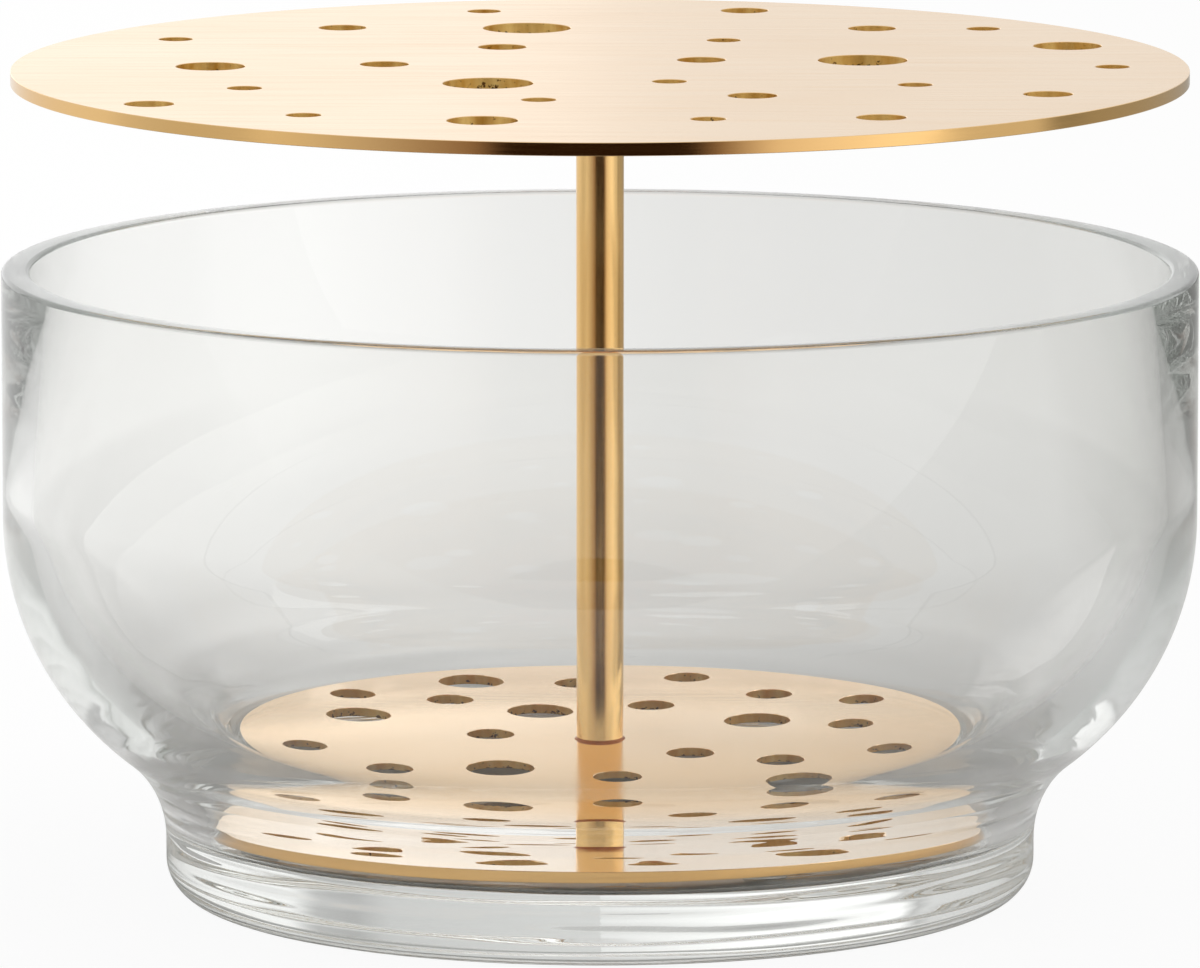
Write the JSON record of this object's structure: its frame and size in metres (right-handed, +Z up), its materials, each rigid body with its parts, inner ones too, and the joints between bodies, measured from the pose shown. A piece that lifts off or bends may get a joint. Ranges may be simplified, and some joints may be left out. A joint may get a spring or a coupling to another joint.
{
  "type": "flower frog",
  "caption": "Flower frog in a clear glass footed bowl: a wide and a small perforated brass disc on one post, standing in the bowl and lifting out.",
  "frame": {"origin": "centre of the bowl's underside, on the surface it stands on", "axes": "+Z up along the post, +X to the right and +Y to the back as the bowl is seen from the front"},
  "size_m": [0.2, 0.2, 0.1394],
  "materials": {
    "glass": "clear, fire-polished",
    "brass": "fine satin, lacquered",
    "steel": "turned",
    "silicone": "clear, moulded"
  },
  "bodies": {
    "bowl": {"glass_bowl": "glass"},
    "insert": {"upper_disc": "brass", "upper_stud": "brass", "post": "brass", "lower_disc": "brass", "lower_screw": "steel", "foot_pad_1": "silicone", "foot_pad_2": "silicone", "foot_pad_3": "silicone"}
  },
  "joints": [
    {"name": "insert_lift", "type": "slide", "parent": "bowl", "child": "insert", "axis": [0, 0, 1], "range_m": [0, 0.11]}
  ]
}
